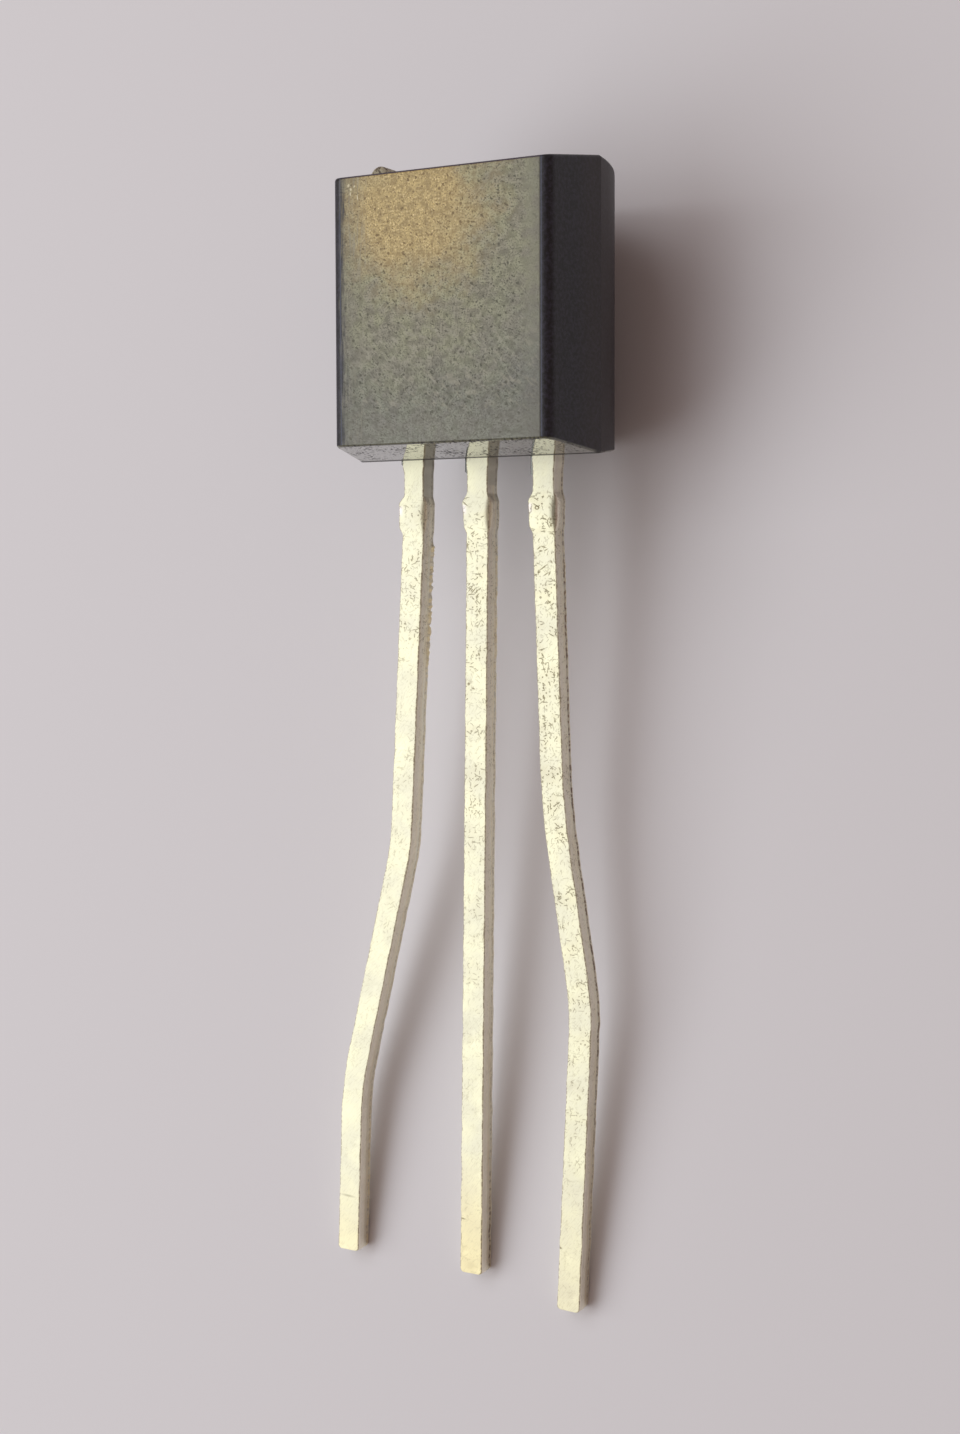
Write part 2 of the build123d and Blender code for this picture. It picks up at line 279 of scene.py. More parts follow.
short_post = ((-1.55, post_half_width),)
middle_post = ((-1.30, post_half_width),)
pad_side = ((-3.92, post_half_width),)
pad_reach = ((-3.92, 1.86), (-1.77, 1.86), (-1.73, post_half_width))
leads = [
    lead_surface(
        "supply_lead", 0, supply_route,
        root_stations(short_post, relief=0.030, stump=0.085, taper=0.01),
        root_stations(short_post, relief=0.014, stump=0.020, taper=0.01),
        shear_depth=0.050,
        burr_stations=((1.38, 0.0), (1.50, 0.050), (3.20, 0.040), (3.80, 0.0)),
        wear={
            "marked": ((0.3, 0.05), (0.9, 0.8), (3.0, 0.8), (3.6, 0.45), (7.0, 0.4), (12.0, 0.12)),
            "neck_shade": ((0.60, 1.0), (0.66, 0.0)),
            "copper_glint_mask": ((1.40, 0.0), (1.50, 1.0), (3.40, 0.8), (4.20, 0.25), (11.0, 0.1), (12.5, 0.5)),
            "flushed": ((12.8, 0.0), (14.1, 0.30)),
            "rimmed": ((1.4, 0.3), (14.0, 0.3)),
        },
        seed=11,
    ),
    lead_surface(
        "output_lead", 1, output_route,
        root_stations(middle_post, relief=0.012, stump=0.090, taper=0.03),
        root_stations(middle_post, relief=0.016, stump=0.034, taper=0.01),
        shear_depth=0.055,
        burr_stations=((1.45, 0.0), (1.65, 0.014), (3.60, 0.010), (4.20, 0.0)),
        wear={
            "marked": ((0.4, 0.05), (1.0, 0.9), (5.0, 0.75), (8.0, 0.5), (12.0, 0.2)),
            "neck_shade": ((0.44, 1.0), (0.48, 0.0)),
            "copper_glint_mask": ((1.40, 0.0), (1.60, 0.5), (3.60, 0.4), (5.0, 0.1), (12.0, 0.1)),
            "flushed": ((12.0, 0.0), (13.2, 0.40), (14.2, 0.60)),
            "rimmed": ((1.4, 0.3), (12.0, 0.3), (13.5, 0.8)),
        },
        seed=23,
    ),
    lead_surface(
        "ground_lead", 2, ground_route,
        root_stations(pad_reach, relief=0.012, stump=0.080, taper=0.02),
        root_stations(pad_side, relief=0.016, stump=0.034, taper=0.01),
        shear_depth=0.060,
        burr_stations=((1.45, 0.0), (1.65, 0.010), (3.00, 0.006), (4.00, 0.0)),
        wear={
            "marked": ((0.4, 0.1), (0.7, 1.0), (5.0, 1.0), (8.0, 0.8), (11.0, 0.55), (13.0, 0.2)),
            "neck_shade": ((0.10, 0.3), (0.90, 0.3), (1.40, 0.25), (9.0, 0.2), (12.0, 0.0)),
            "copper_glint_mask": ((1.40, 0.0), (1.60, 0.25), (5.0, 0.1), (14.0, 0.1)),
            "flushed": ((12.0, 0.0), (14.4, 0.2)),
            "rimmed": ((1.4, 0.6), (2.2, 1.0), (10.0, 0.9), (12.0, 0.4)),
        },
        seed=37,
    ),
]
for piece, node in zip(leads, ("lead_supply", "lead_output", "lead_ground")):
    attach(piece, "root")
    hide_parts(node)


class Finish:
    """A material in the making. Each call adds one shader node or a few, and gives back their result."""

    def __init__(self, name):
        self.material = bpy.data.materials.new(name)
        self.material.use_nodes = True
        self.tree = self.material.node_tree
        self.shader = self.tree.nodes["Principled BSDF"]

    def feed(self, socket, value):
        if isinstance(value, bpy.types.NodeSocket):
            self.tree.links.new(value, socket)
        elif socket.type == "RGBA":
            socket.default_value = (*value, 1)
        else:
            socket.default_value = value

    def node(self, kind, inputs, output=0, **settings):
        made = self.tree.nodes.new("ShaderNode" + kind)
        for name, value in settings.items():
            setattr(made, name, value)
        for name, value in inputs.items():
            self.feed(made.inputs[name], value)
        return made.outputs[output]

    def calc(self, operation, *terms):
        return self.node("Math", dict(enumerate(terms)), operation=operation)

    def times(self, product, *others):
        """All of them multiplied."""
        for other in others:
            product = self.calc("MULTIPLY", product, other)
        return product

    def most(self, largest, *others):
        """The largest of them."""
        for other in others:
            largest = self.calc("MAXIMUM", largest, other)
        return largest

    def fade(self, value, start, stop):
        """0 at start and beyond it, 1 at stop and beyond it, smooth between."""
        inputs = {"Value": value, "From Min": start, "From Max": stop}
        return self.node("MapRange", inputs, interpolation_type="SMOOTHSTEP")

    def line(self, value, middle, outer, inner):
        """1 where the value is nearer the middle than inner, 0 where it is further than outer."""
        return self.fade(self.calc("ABSOLUTE", self.calc("SUBTRACT", value, middle)), outer, inner)

    def blend(self, amount, first, second):
        """The first colour where the amount is 0, the second where it is 1."""
        inputs = {0: amount, 6: first, 7: second}
        return self.node("Mix", inputs, output=2, data_type="RGBA")

    def noise(self, where, size, detail=2.0, roughness=0.5):
        """Cloudy noise between about 0.3 and 0.7, with features of that size."""
        inputs = {"Vector": where, "Scale": 1 / size, "Detail": detail, "Roughness": roughness}
        return self.node("TexNoise", inputs)

    def placed(self, where, shift=(0, 0, 0), turn=(0, 0, 0), scale=(1, 1, 1)):
        """A point scaled, then turned by degrees, then shifted."""
        rotation = [radians(angle) for angle in turn]
        inputs = {"Vector": where, "Location": shift, "Rotation": rotation, "Scale": scale}
        return self.node("Mapping", inputs)

    def millimetres(self):
        """The place on the piece in the lying frame, in millimetres."""
        return self.placed(self.node("TexCoord", {}, output=3), scale=(1000, 1000, 1000))

    def axes(self, vector):
        made = self.tree.nodes.new("ShaderNodeSeparateXYZ")
        self.tree.links.new(vector, made.inputs[0])
        return tuple(made.outputs)

    def cells(self, where, size):
        """Random flat cells of that size: how far from a cell's middle, its random colour, its middle."""
        inputs = {"Vector": where, "Scale": 1 / size}
        made = self.node("TexVoronoi", inputs, voronoi_dimensions="2D").node
        distance = self.calc("MULTIPLY", made.outputs["Distance"], size)
        return distance, made.outputs["Color"], made.outputs["Position"]

    def pits(self, where, size, share):
        """Round pits: 1 in the middle of that share of the cells, up to 0.3 of a cell in radius."""
        distance, colour = self.cells(where, size)[:2]
        chosen, wide = self.axes(colour)[:2]
        radius = self.calc("MULTIPLY_ADD", wide, 0.22 * size, 0.08 * size)
        shape = self.fade(self.calc("DIVIDE", distance, radius), 1.0, 0.4)
        return self.times(shape, self.calc("LESS_THAN", chosen, share))

    def scratches(self, where, spacing, width, share):
        """Straight scratches in random directions, one across each of that share of the cells."""
        distance, colour, middle = self.cells(where, spacing)
        chosen, angle = self.axes(colour)[:2]
        local = self.node("VectorMath", {0: where, 1: middle}, operation="SUBTRACT")
        turned = self.node(
            "VectorRotate",
            {"Vector": local, "Angle": self.calc("MULTIPLY", angle, 2 * pi)},
            rotation_type="Z_AXIS",
        )
        run, aside = self.axes(turned)[:2]
        thin = self.fade(self.calc("ABSOLUTE", aside), width, 0.2 * width)
        ends = self.fade(self.calc("ABSOLUTE", run), 0.48 * spacing, 0.25 * spacing)
        return self.times(thin, ends, self.calc("LESS_THAN", chosen, share))

    def stroke(self, where, middle, angle, length, width, strength=1.0):
        """One straight mark with tapered ends, drawn at a place on a flat surface: 0 at its outline
        and 1.5 times its strength in its middle."""
        inputs = {"Vector": where, "Location": (*middle, 0), "Rotation": (0, 0, radians(angle))}
        inputs["Scale"] = (length / 2, width, 1)
        local = self.node("Mapping", inputs, vector_type="TEXTURE")
        distance = self.node("VectorMath", {0: local}, output=1, operation="LENGTH")
        return self.calc("MULTIPLY_ADD", distance, -1.5 * strength, 1.5 * strength)

    def layer(self, name):
        """A value that the piece's own mesh carries."""
        return self.node("Attribute", {}, output=2, attribute_name=name)

    def relief(self, height, depth):
        """Bump: height 1 stands depth millimetres above height 0."""
        return self.node("Bump", {"Height": height, "Distance": depth / 1000, "Strength": 1.0})


# Tin plating, pale cream and a little whiter where the flanks are torn. It is pitted and scratched
# from handling, with a dotted brown line along its edges, bare copper on the burr paled into a painted
# glint, a grey painted shade on the flanks where they mirror the shade under the body, and a blush of
# copper on the cropped tips.
cream, light_cream = (0.878, 0.870, 0.665), (0.870, 0.865, 0.705)
copper_blush = (0.90, 0.79, 0.44)
flank_cream, flank_white = (0.99, 0.92, 0.71), (1.0, 0.98, 0.82)
sheared_cream = (0.90, 0.84, 0.71)
torn_white = (1.0, 0.97, 0.84)
mirrored_shade_grey = (0.76, 0.74, 0.62)
# Painted highlight and painted shade for the stumps' shoulders.
painted_stump_glint, painted_stump_shade = (0.98, 0.95, 0.93), (0.42, 0.45, 0.36)
rubbed_olive = (0.60, 0.57, 0.38)
tarnish = (0.62, 0.52, 0.26)
grime = (0.25, 0.21, 0.10)
edge_brown, rim_brown = (0.34, 0.27, 0.15), (0.13, 0.065, 0.045)
copper_and_painted_glint = (1.0, 0.88, 0.56)

# The strip map holds the distance round the lead from the middle of its front, and the length along
# it with 20 mm added for each lead before it.
tin = Finish("tin_plating")
strip = tin.node("UVMap", {}, uv_map="strip")
around, along = tin.axes(strip)[:2]
side = tin.calc("ABSOLUTE", around)
on_flank = tin.fade(side, 0.200, 0.235)
patchy = tin.noise(strip, 0.6, detail=3.0)
colour = tin.blend(tin.fade(patchy, 0.35, 0.65), cream, light_cream)
colour = tin.blend(tin.layer("flushed"), colour, copper_blush)
drawn = tin.noise(tin.placed(strip, scale=(1, 0.04, 1)), 0.05, detail=3.0)
flank_colour = tin.blend(tin.fade(drawn, 0.35, 0.65), flank_cream, flank_white)
flank_colour = tin.blend(tin.fade(side, 0.46, 0.26), flank_colour, sheared_cream)
flank_colour = tin.blend(tin.fade(side, 0.53, 0.56), flank_colour, torn_white)
# Painted shade: the flanks are greyed where they mirror the shade under the body, on the necks and faintly
# down the ground lead.
flank_colour = tin.blend(tin.layer("neck_shade"), flank_colour, mirrored_shade_grey)

# Painted highlight and shade: the left shoulder of each stump is painted near white as a glint, and the
# right of the ground lead's is painted darker as its shade.
down = tin.calc("MODULO", along, 20.0)
painted_glint_mask = tin.times(tin.fade(down, 0.76, 0.82), tin.fade(down, 1.00, 0.88), tin.fade(around, -0.12, -0.19))
colour = tin.blend(painted_glint_mask, colour, painted_stump_glint)
painted_shade_mask = tin.times(tin.fade(along, 40.55, 40.85), tin.fade(along, 41.30, 41.05))
painted_shade_mask = tin.times(painted_shade_mask, tin.fade(around, 0.08, 0.20), 0.7)
colour = tin.blend(painted_shade_mask, colour, painted_stump_shade)
colour = tin.blend(on_flank, colour, flank_colour)

# Pits and scratches at random, gathered in clusters and where the lead is marked most.
wobble = tin.node("CombineXYZ", {0: tin.times(tin.noise(strip, 0.05, detail=1.0), 0.05)})
bent = tin.node("VectorMath", {0: strip, 1: wobble})
fine_pits = tin.most(tin.pits(strip, 0.055, 0.25), tin.pits(strip, 0.100, 0.35))
scratch = tin.most(
    tin.scratches(bent, 0.085, 0.007, 0.45),
    tin.scratches(tin.placed(bent, shift=(0.7, 0.4, 0)), 0.150, 0.009, 0.45),
    tin.scratches(tin.placed(bent, shift=(0.2, 0.9, 0)), 0.110, 0.009, 0.35),
)
cluster = tin.fade(tin.noise(tin.placed(strip, shift=(3, 1, 0)), 0.35, detail=1.0), 0.42, 0.62)
marked = tin.times(tin.layer("marked"), tin.calc("MULTIPLY_ADD", cluster, 0.65, 0.35))
worn = tin.times(tin.most(fine_pits, scratch), marked)

# The larger marks, each at its own place on the strip map: place, angle, length, width, strength.
marks = tin.times(worn, 0.8)
for middle, angle, length, width, strength in (
    # the supply lead: a faint line near its tip
    ((-0.030, 13.290), 2, 0.40, 0.030, 0.35),
    # the output lead: a crease on its stump, a patch of slanting cuts, and stray nicks below it
    ((-0.175, 20.675), -10, 0.15, 0.011, 1.0),
    ((-0.160, 20.770), 48, 0.17, 0.011, 1.0),
    ((-0.150, 22.153), -48, 0.09, 0.014, 1.0),
    ((-0.123, 22.232), -48, 0.17, 0.013, 1.0),
    ((-0.062, 22.260), -48, 0.20, 0.013, 1.0),
    ((0.000, 22.275), -48, 0.20, 0.013, 1.0),
    ((0.018, 22.339), -48, 0.12, 0.013, 1.0),
    ((0.062, 22.232), -48, 0.10, 0.013, 0.9),
    ((-0.062, 22.403), 20, 0.07, 0.014, 0.8),
    ((0.048, 22.624), 56, 0.17, 0.009, 0.8),
    ((0.053, 23.352), 70, 0.09, 0.022, 1.0),
    ((-0.141, 23.866), 60, 0.07, 0.024, 1.0),
    ((-0.053, 23.944), 20, 0.10, 0.020, 0.8),
    ((-0.170, 33.250), 8, 0.13, 0.020, 0.7),
    # the ground lead: folds and slashes below its stump, then scattered nicks down to the tip
    ((0.026, 41.066), 20, 0.14, 0.011, 0.7),
    ((0.130, 41.290), 8, 0.14, 0.011, 0.8),
    ((0.140, 41.320), 8, 0.12, 0.011, 0.8),
    ((-0.095, 41.408), -55, 0.10, 0.013, 0.8),
    ((-0.100, 41.545), -35, 0.12, 0.016, 1.0),
    ((-0.010, 41.532), 18, 0.14, 0.016, 1.0),
    ((-0.070, 41.597), 0, 0.09, 0.020, 1.0),
    ((0.035, 41.583), -25, 0.11, 0.013, 0.9),
    ((0.127, 41.786), 60, 0.09, 0.022, 0.8),
    ((-0.028, 41.877), -33, 0.26, 0.015, 1.0),
    ((-0.110, 41.952), -20, 0.08, 0.022, 1.0),
    ((0.020, 41.990), -30, 0.17, 0.013, 0.9),
    ((0.083, 41.982), -60, 0.11, 0.018, 0.9),
    ((0.060, 42.456), 45, 0.11, 0.015, 0.9),
    ((0.150, 42.720), 70, 0.06, 0.022, 0.7),
    ((-0.070, 43.589), 80, 0.05, 0.022, 0.8),
    ((-0.030, 43.694), 80, 0.06, 0.024, 0.9),
    ((-0.100, 43.910), 60, 0.06, 0.022, 0.8),
    ((-0.110, 44.387), 40, 0.09, 0.026, 0.8),
    ((0.050, 50.880), 60, 0.10, 0.030, 0.5),
    ((-0.190, 53.530), 12, 0.09, 0.026, 0.8),
):
    marks = tin.most(marks, tin.stroke(strip, middle, angle, length, width, strength))

# A small ring on the ground lead's stump, rubbed streaks, tarnish where the pits gather, and grime in
# every mark.
from_ring = tin.node("VectorMath", {0: strip, 1: (-0.075, 40.870, 0)}, output=1, operation="DISTANCE")
marks = tin.calc("MINIMUM", tin.most(marks, tin.line(from_ring, 0.026, 0.013, 0.005)), 1.0)
streaks = tin.noise(tin.placed(tin.placed(strip, turn=(0, 0, 55)), scale=(0.15, 1, 1)), 0.02, detail=2.0)
colour = tin.blend(tin.times(tin.fade(streaks, 0.52, 0.70), 0.25), colour, rubbed_olive)
colour = tin.blend(tin.times(cluster, marked, 0.10), colour, tarnish)
colour = tin.blend(tin.times(marks, 0.85), colour, grime)

# The lines along the edges: dots on both front ones, a dark rim and the burr's copper at the back, paled
# into a painted glint.
dotted = tin.fade(tin.noise(tin.placed(strip, scale=(0.4, 1, 1)), 0.06, detail=2.0), 0.46, 0.56)
colour = tin.blend(tin.times(tin.line(side, 0.205, 0.018, 0.008), dotted, 0.5), colour, edge_brown)
broken = tin.calc("MULTIPLY_ADD", dotted, 0.55, 0.45)
rim_line = tin.times(tin.line(around, 0.515, 0.040, 0.020), broken, tin.layer("rimmed"))
colour = tin.blend(rim_line, colour, rim_brown)
flecked = tin.fade(tin.noise(tin.placed(strip, scale=(0.5, 1, 1)), 0.12, detail=3.0), 0.62, 0.45)
copper_glint_mask = tin.times(tin.line(around, 0.550, 0.070, 0.040), flecked, tin.layer("copper_glint_mask"))
# Bare copper on the burr, painted paler than copper as a painted highlight.
colour = tin.blend(copper_glint_mask, colour, copper_and_painted_glint)
tin.feed(tin.shader.inputs["Base Color"], colour)
tin.shader.inputs["Metallic"].default_value = 1.0
roughness = tin.calc("MULTIPLY_ADD", patchy, 0.2, 0.55)
roughness = tin.calc("SUBTRACT", roughness, tin.times(on_flank, 0.28))
tin.feed(tin.shader.inputs["Roughness"], roughness)
matt_grain = tin.noise(strip, 0.03, detail=3.0)
height = tin.calc("SUBTRACT", tin.times(matt_grain, 0.3), worn)
tin.feed(tin.shader.inputs["Normal"], tin.relief(height, 0.005))
for piece in leads:
    piece.data.materials.append(tin.material)


# --- chip and adhesive --------------------------------------------------------------------------
# The chip is a sawn piece of silicon wafer with its circuit on the side towards the face: plain plates
# of metal and blocks of fine rows. It is stuck to the pad of the ground lead with a thin smear of
# silver-filled epoxy.
silicon = Finish("silicon_circuit")
row_blue, row_violet, row_gap = (0.13, 0.13, 0.20), (0.22, 0.20, 0.25), (0.30, 0.29, 0.31)
plate_dark, plate_light = (0.16, 0.20, 0.24), (0.42, 0.40, 0.42)
place = silicon.millimetres()
fine_rows = silicon.node(
    "TexBrick",
    {
        "Vector": place,
        "Color1": row_blue,
        "Color2": row_violet,
        "Mortar": row_gap,
        "Scale": 14.0,
        "Mortar Size": 0.012,
    },
)
blocks = silicon.node(
    "TexBrick",
    {
        "Vector": place,
        "Color1": (0.0, 0.0, 0.0),
        "Color2": (1.0, 1.0, 1.0),
        "Mortar": (0.5, 0.5, 0.5),
        "Scale": 2.0,
        "Mortar Size": 0.010,
        "Brick Width": 0.8,
        "Row Height": 0.5,
    },
    offset=0.37,
)
plates = silicon.blend(blocks, plate_dark, plate_light)
circuit = silicon.blend(silicon.calc("GREATER_THAN", blocks, 0.45), fine_rows, plates)
silicon.feed(silicon.shader.inputs["Base Color"], circuit)
silicon.shader.inputs["Metallic"].default_value = 0.5
silicon.shader.inputs["Roughness"].default_value = 0.18
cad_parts["silicon_die"].material_slots[0].material = silicon.material

adhesive = Finish("silver_epoxy")
binder_grey, silver_flake = (0.35, 0.35, 0.34), (0.80, 0.80, 0.78)
flake = adhesive.noise(adhesive.millimetres(), 0.02, detail=3.0)
adhesive.feed(adhesive.shader.inputs["Base Color"], adhesive.blend(flake, binder_grey, silver_flake))
adhesive.shader.inputs["Roughness"].default_value = 0.55
adhesive.feed(adhesive.shader.inputs["Normal"], adhesive.relief(flake, 0.006))
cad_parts["die_attach"].material_slots[0].material = adhesive.material


# --- bond wires ---------------------------------------------------------------------------------
# Three gold wires, 0.033 mm thick, each melted into a ball on the chip, looped over and stitched to
# its lead. The resin is moulded round them.
gold = Finish("drawn_gold")
deep_gold, light_gold = (0.95, 0.66, 0.22), (1.0, 0.78, 0.36)
die_marks = gold.noise(gold.millimetres(), 0.012, detail=2.0)
gold.feed(gold.shader.inputs["Base Color"], gold.blend(die_marks, deep_gold, light_gold))
gold.shader.inputs["Metallic"].default_value = 1.0
gold.feed(gold.shader.inputs["Roughness"], gold.calc("MULTIPLY_ADD", die_marks, 0.2, 0.12))
for name in ("bond_wire_supply", "bond_wire_output", "bond_wire_ground"):
    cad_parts[name].material_slots[0].material = gold.material


# --- moulded body -------------------------------------------------------------------------------
# Black epoxy filled with silica, moulded in one shot round the leads, the chip and the wires. The
# flat face is matt from the spark-eroded mould, with a golden bloom of dried flux and handling, and its
# grey, olive and gold are partly painted sheen of glare on the black resin. It is bare. Flanks,
# rounded edges and upper end are smooth, and the gate stub is a rough break.
flat_edge = 1.88                          # half the face between its rounded edges
front_slope = -0.1405                     # the lower end's rise for each millimetre back, at 8 degrees
back_slope = 0.0963                       # and behind the parting plane, at 5.5 degrees
black, soot_violet = (0.003, 0.003, 0.004), (0.024, 0.022, 0.036)
back_brown = (0.050, 0.034, 0.028)
slate, moss = (0.162, 0.166, 0.143), (0.184, 0.204, 0.164)
olive_brown, olive_green = (0.300, 0.282, 0.190), (0.350, 0.348, 0.205)
# The golden bloom colour, partly painted sheen of glare.
bloom_and_sheen_gold = (0.560, 0.425, 0.155)
# Colours of painted glints in the face's grain.
painted_glint_grey, painted_glint_gold = (0.36, 0.36, 0.27), (0.90, 0.74, 0.38)
pit_green, pit_brown = (0.042, 0.046, 0.030), (0.105, 0.058, 0.022)
scuffed = (0.34, 0.33, 0.25)
painted_shade_olive = (0.105, 0.100, 0.075)
painted_glint_cream = (0.80, 0.74, 0.50)
top_edge_shade_violet, highlight_blue = (0.050, 0.030, 0.060), (0.06, 0.07, 0.12)
end_green, end_olive = (0.050, 0.054, 0.024), (0.090, 0.092, 0.046)
fleck_black = (0.012, 0.012, 0.012)
stub_cream, stub_pink, stub_crack = (0.52, 0.47, 0.33), (0.44, 0.32, 0.27), (0.12, 0.09, 0.06)

# The place in upright millimetres: x across the face, y from the parting plane back, z up.
resin = Finish("moulded_epoxy")
spot = resin.placed(
    resin.node("TexCoord", {}, output=3),
    shift=(-0.30783, 1.65143, -4.95728),
    turn=(82.3842, 0, 0),
    scale=(1000, 1000, 1000),
)
x, y, z = resin.axes(spot)
flat = resin.node("CombineXYZ", {0: x, 1: z})
rubbed = resin.noise(resin.placed(flat, scale=(1, 0.08, 1)), 0.045, detail=2.0)
ragged_x = resin.calc("MULTIPLY_ADD", rubbed, 0.3, x)
left_edge = resin.fade(ragged_x, -flat_edge + 0.09, -flat_edge + 0.27)
right_edge = resin.fade(x, flat_edge + 0.02, flat_edge - 0.02)
on_face = resin.times(resin.fade(y, -1.27, -1.29), left_edge, right_edge)
end_rise = resin.most(resin.times(y, front_slope), resin.times(y, back_slope))
on_lower_end = resin.fade(resin.calc("SUBTRACT", z, end_rise), 0.040, 0.015)
on_gate = resin.fade(z, 4.885, 4.90)

cloudy = resin.noise(spot, 0.06, detail=4.0, roughness=0.7)
colour = resin.blend(resin.fade(cloudy, 0.38, 0.66), black, soot_violet)
colour = resin.blend(resin.times(resin.fade(x, 2.18, 2.32), 0.3), colour, back_brown)

# The face: dark green-grey, olive higher up, and golden round a point 0.57 mm left of its middle and
# 4.12 mm up. The black resin is lifted to these colours partly by a real golden bloom and partly as
# painted sheen of glare.
cloud = resin.noise(flat, 0.8, detail=3.0, roughness=0.6)
billow = resin.noise(resin.placed(flat, shift=(5, 2, 0)), 0.30, detail=3.0, roughness=0.5)
mottle = resin.noise(flat, 0.13, detail=5.0, roughness=0.7)
grain = resin.noise(flat, 0.032, detail=3.0, roughness=0.6)
shifted = resin.placed(flat, shift=(0.52, -4.12, 0), scale=(0.92, 1, 1))
distance = resin.node("VectorMath", {0: shifted}, output=1, operation="LENGTH")
uneven = resin.calc("ADD", distance, resin.calc("MULTIPLY_ADD", cloud, 1.6, -0.8))
uneven = resin.calc("ADD", uneven, resin.calc("MULTIPLY_ADD", mottle, 1.2, -0.6))
golden = resin.fade(uneven, 1.9, 0.5)
olive = resin.fade(uneven, 4.4, 1.2)
patches = resin.fade(billow, 0.38, 0.62)
low_colour = resin.blend(patches, slate, moss)
high_colour = resin.blend(patches, olive_brown, olive_green)
face_colour = resin.blend(olive, low_colour, high_colour)
face_colour = resin.blend(golden, face_colour, bloom_and_sheen_gold)
# Painted glints: bright grey and gold specks from the grain, more in the golden part.
glints = resin.times(resin.fade(grain, 0.56, 0.68), resin.calc("MULTIPLY_ADD", golden, 0.6, 0.3))
face_colour = resin.blend(glints, face_colour, resin.blend(golden, painted_glint_grey, painted_glint_gold))

# Pits of the matt surface, from wide shallow ones to fine specks, fewer towards the right.
speck_map = resin.placed(resin.placed(flat, turn=(0, 0, 35)), scale=(0.6, 1, 1))
specks = resin.noise(speck_map, 0.055, detail=2.0)
flecks = resin.times(resin.pits(flat, 0.14, 0.25), 0.7)
pitted = resin.most(
    resin.times(resin.fade(mottle, 0.60, 0.36), 0.48),
    resin.times(resin.fade(grain, 0.50, 0.38), 0.6),
    resin.times(resin.fade(specks, 0.40, 0.33), 0.75),
    flecks,
)
pitted = resin.times(pitted, resin.calc("MULTIPLY_ADD", resin.fade(x, 1.40, 1.75), -0.5, 1.0))
face_colour = resin.blend(pitted, face_colour, resin.blend(golden, pit_green, pit_brown))

# Rubbed streaks down the left of the face, light wisps low down, and small painted glints near its top.
left_streaks = resin.times(resin.fade(rubbed, 0.50, 0.64), resin.fade(x, -1.2, -1.6), 0.4)
swayed = resin.node("CombineXYZ", {0: resin.calc("MULTIPLY_ADD", cloud, 0.8, x), 1: z})
wisp_map = resin.placed(resin.placed(swayed, turn=(0, 0, 40)), scale=(0.45, 1, 1))
wisps = resin.fade(resin.noise(wisp_map, 0.10, detail=5.0, roughness=0.6), 0.50, 0.66)
wisps = resin.times(wisps, resin.fade(z, 2.6, 1.9), resin.fade(z, 0.4, 0.9), 0.55)
scuffs = resin.most(left_streaks, wisps, resin.times(resin.fade(z, 1.0, 0.4), 0.2))
face_colour = resin.blend(scuffs, face_colour, scuffed)
# Painted shade: the face darkens towards both edges and low on the right, where the glare falls off.
face_shade = resin.calc("ADD", resin.fade(x, 1.40, 1.85), resin.times(resin.fade(x, -1.30, -1.75), 0.7))
low_right = resin.times(resin.fade(x, 0.0, 1.7), resin.fade(z, 1.6, 0.5))
face_shade = resin.calc("MULTIPLY_ADD", low_right, 0.5, face_shade)
face_colour = resin.blend(resin.times(face_shade, 0.4), face_colour, painted_shade_olive)
top_glints = 0.0
for middle, angle, length, width in (
    ((-1.735, 4.545), 70, 0.07, 0.028),
    ((-1.690, 4.480), 110, 0.06, 0.024),
    ((-1.700, 4.400), 90, 0.09, 0.014),
    ((-1.620, 4.520), 60, 0.05, 0.018),
    ((-1.560, 4.330), 95, 0.10, 0.012),
):
    # Painted highlight: small cream glints near the top left of the face.
    top_glints = resin.most(top_glints, resin.stroke(flat, middle, angle, length, width))
face_colour = resin.blend(resin.calc("MINIMUM", top_glints, 0.7), face_colour, painted_glint_cream)
# Painted shade: a dark violet line along the top edge of the face.
face_colour = resin.blend(resin.fade(z, 4.662, 4.680), face_colour, top_edge_shade_violet)
colour = resin.blend(on_face, colour, face_colour)

# A thin bluish painted highlight where the face meets each rounded edge.
edge_highlight = resin.line(resin.calc("ABSOLUTE", x), flat_edge + 0.03, 0.014, 0.004)
edge_highlight = resin.times(edge_highlight, resin.fade(y, -1.15, -1.25))
colour = resin.blend(resin.times(edge_highlight, 0.6), colour, highlight_blue)

# The lower end: polished enough to mirror the leads at a shallow angle, with ragged dark flecks and a
# dull line where the mould's halves met.
end_flat = resin.node("CombineXYZ", {0: x, 1: y})
ragged = resin.noise(resin.placed(end_flat, scale=(1, 0.8, 1)), 0.060, detail=3.0, roughness=0.6)
gathered = resin.noise(resin.placed(end_flat, shift=(4, 2, 0)), 0.45, detail=1.0)
chips = resin.fade(resin.calc("MULTIPLY_ADD", gathered, 0.35, ragged), 0.735, 0.765)
dulled = resin.times(resin.most(chips, resin.line(y, -0.03, 0.11, 0.05)), 0.9)
end_colour = resin.blend(resin.noise(spot, 0.08, detail=3.0), end_green, end_olive)
end_colour = resin.blend(dulled, end_colour, fleck_black)
colour = resin.blend(on_lower_end, colour, end_colour)
polished = resin.times(on_lower_end, resin.calc("SUBTRACT", 1.0, dulled))

# The gate stub: torn resin, cream on its left and pinkish brown on its right.
torn = resin.noise(spot, 0.07, detail=4.0, roughness=0.7)
torn_colour = resin.blend(resin.fade(x, -1.15, -0.85), stub_cream, stub_pink)
torn_colour = resin.blend(resin.fade(torn, 0.56, 0.42), torn_colour, stub_crack)
colour = resin.blend(on_gate, colour, torn_colour)
resin.feed(resin.shader.inputs["Base Color"], colour)

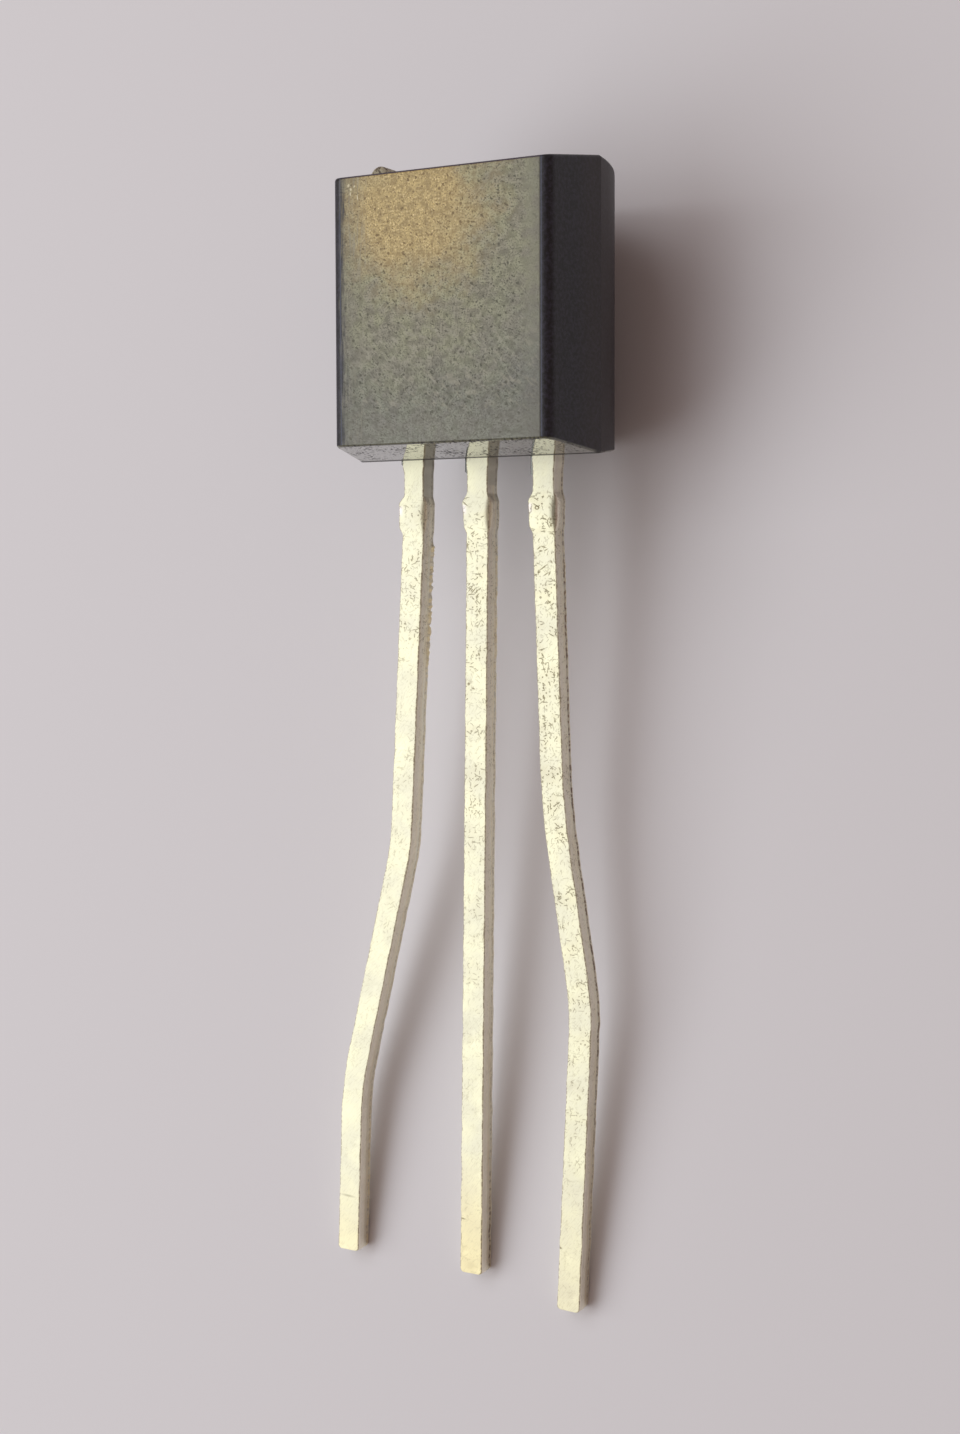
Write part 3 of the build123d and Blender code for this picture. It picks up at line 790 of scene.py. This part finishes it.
face_roughness = resin.calc("MULTIPLY_ADD", mottle, 0.20, 0.28)
face_roughness = resin.calc("SUBTRACT", face_roughness, resin.times(golden, 0.08))
face_roughness = resin.calc("MULTIPLY_ADD", pitted, 0.35, face_roughness)
roughness = resin.blend(polished, (0.46, 0.46, 0.46), (0.06, 0.06, 0.06))
roughness = resin.blend(on_face, roughness, face_roughness)
roughness = resin.blend(on_gate, roughness, (0.6, 0.6, 0.6))
resin.feed(resin.shader.inputs["Roughness"], roughness)
resin.shader.inputs["IOR"].default_value = 1.50
resin.feed(resin.shader.inputs["Coat Weight"], polished)
resin.shader.inputs["Coat Roughness"].default_value = 0.06
resin.shader.inputs["Coat IOR"].default_value = 1.6
height = resin.calc("ADD", mottle, resin.times(grain, 0.4))
height = resin.calc("SUBTRACT", resin.times(height, on_face), resin.times(flecks, 0.3))
height = resin.calc("ADD", height, resin.times(torn, on_gate, 6.0))
resin.feed(resin.shader.inputs["Normal"], resin.relief(height, 0.006))
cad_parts["moulded_body"].material_slots[0].material = resin.material


# --- table, light and camera --------------------------------------------------------------------
# A plain pale table, a large soft lamp from the left, a weaker one from beyond the body, and a faint
# warm glow all round.
table_half = 0.5
corners = [(-table_half, -table_half, 0), (table_half, -table_half, 0)]
corners += [(table_half, table_half, 0), (-table_half, table_half, 0)]
sheet = bpy.data.meshes.new("table")
sheet.from_pydata(corners, [], [(0, 1, 2, 3)])
table = bpy.data.objects.new("table", sheet)
bpy.context.scene.collection.objects.link(table)
paint = Finish("matt_table")
paint.shader.inputs["Base Color"].default_value = (0.725, 0.715, 0.735, 1)
paint.shader.inputs["Roughness"].default_value = 0.9
sheet.materials.append(paint.material)

glow = bpy.data.worlds.new("glow")
glow.use_nodes = True
background = glow.node_tree.nodes["Background"]
background.inputs["Color"].default_value = (1.0, 0.74, 0.66, 1)
background.inputs["Strength"].default_value = 0.26
bpy.context.scene.world = glow
bpy.context.scene.view_settings.view_transform = "Standard"


def soft_lamp(name, towards, distance, width, power, colour):
    """A square lamp that faces the origin from that direction and distance."""
    lamp = bpy.data.lights.new(name, "AREA")
    lamp.size = width
    lamp.energy = power
    lamp.color = colour
    light = bpy.data.objects.new(name, lamp)
    towards = Vector(towards).normalized()
    light.location = towards * distance
    light.rotation_euler = towards.to_track_quat("Z", "Y").to_euler()
    bpy.context.scene.collection.objects.link(light)


soft_lamp("window", (-0.60, -0.21, 0.77), distance=0.16, width=0.15, power=0.176, colour=(0.93, 0.97, 1.0))
soft_lamp("sky", (-0.25, 0.45, 0.86), distance=0.18, width=0.12, power=0.070, colour=(0.95, 0.97, 1.0))

camera = bpy.data.cameras.new("camera")
camera.lens = 53.70
camera.clip_start = 0.001
view = bpy.data.objects.new("camera", camera)
view.location = (0.0180938, -0.0019090, 0.0338369)
view.rotation_euler = [radians(angle) for angle in (5.3605, 28.6421, 3.9681)]
bpy.context.scene.collection.objects.link(view)
bpy.context.scene.camera = view
